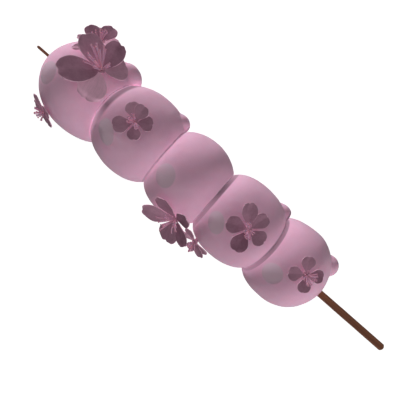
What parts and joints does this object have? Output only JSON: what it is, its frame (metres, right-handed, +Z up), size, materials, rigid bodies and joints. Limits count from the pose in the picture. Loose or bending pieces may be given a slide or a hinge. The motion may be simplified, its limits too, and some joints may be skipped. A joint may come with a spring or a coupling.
{
  "type": "dango skewer",
  "caption": "Soft pink rice-dough balls pressed together on a slim dark wooden skewer, dressed with small dusky cherry blossoms.",
  "frame": {"origin": "middle of the footprint, on the surface the skewer lies on", "axes": "+X along the stick from its thin tip to its handle, +Z up"},
  "size_m": [0.15, 0.0398, 0.036],
  "materials": {
    "mochi": "moist pink rice dough, smooth, soft and slightly translucent, with a wet gloss",
    "dark_wood": "smooth dark brown stained wood with fine grain along the stick",
    "petal": "dusky mauve salted cherry blossom petals, matt and thin, with paler stamens"
  },
  "bodies": {
    "root": {"skewer_stick": "dark_wood", "dango_1": "mochi", "dango_2": "mochi", "dango_3": "mochi", "dango_4": "mochi", "dango_5": "mochi", "blossom_1": "petal", "blossom_2": "petal", "blossom_3": "petal", "blossom_4": "petal", "blossom_5": "petal", "blossom_6": "petal", "blossom_7": "petal", "blossom_8": "petal"}
  },
  "joints": []
}
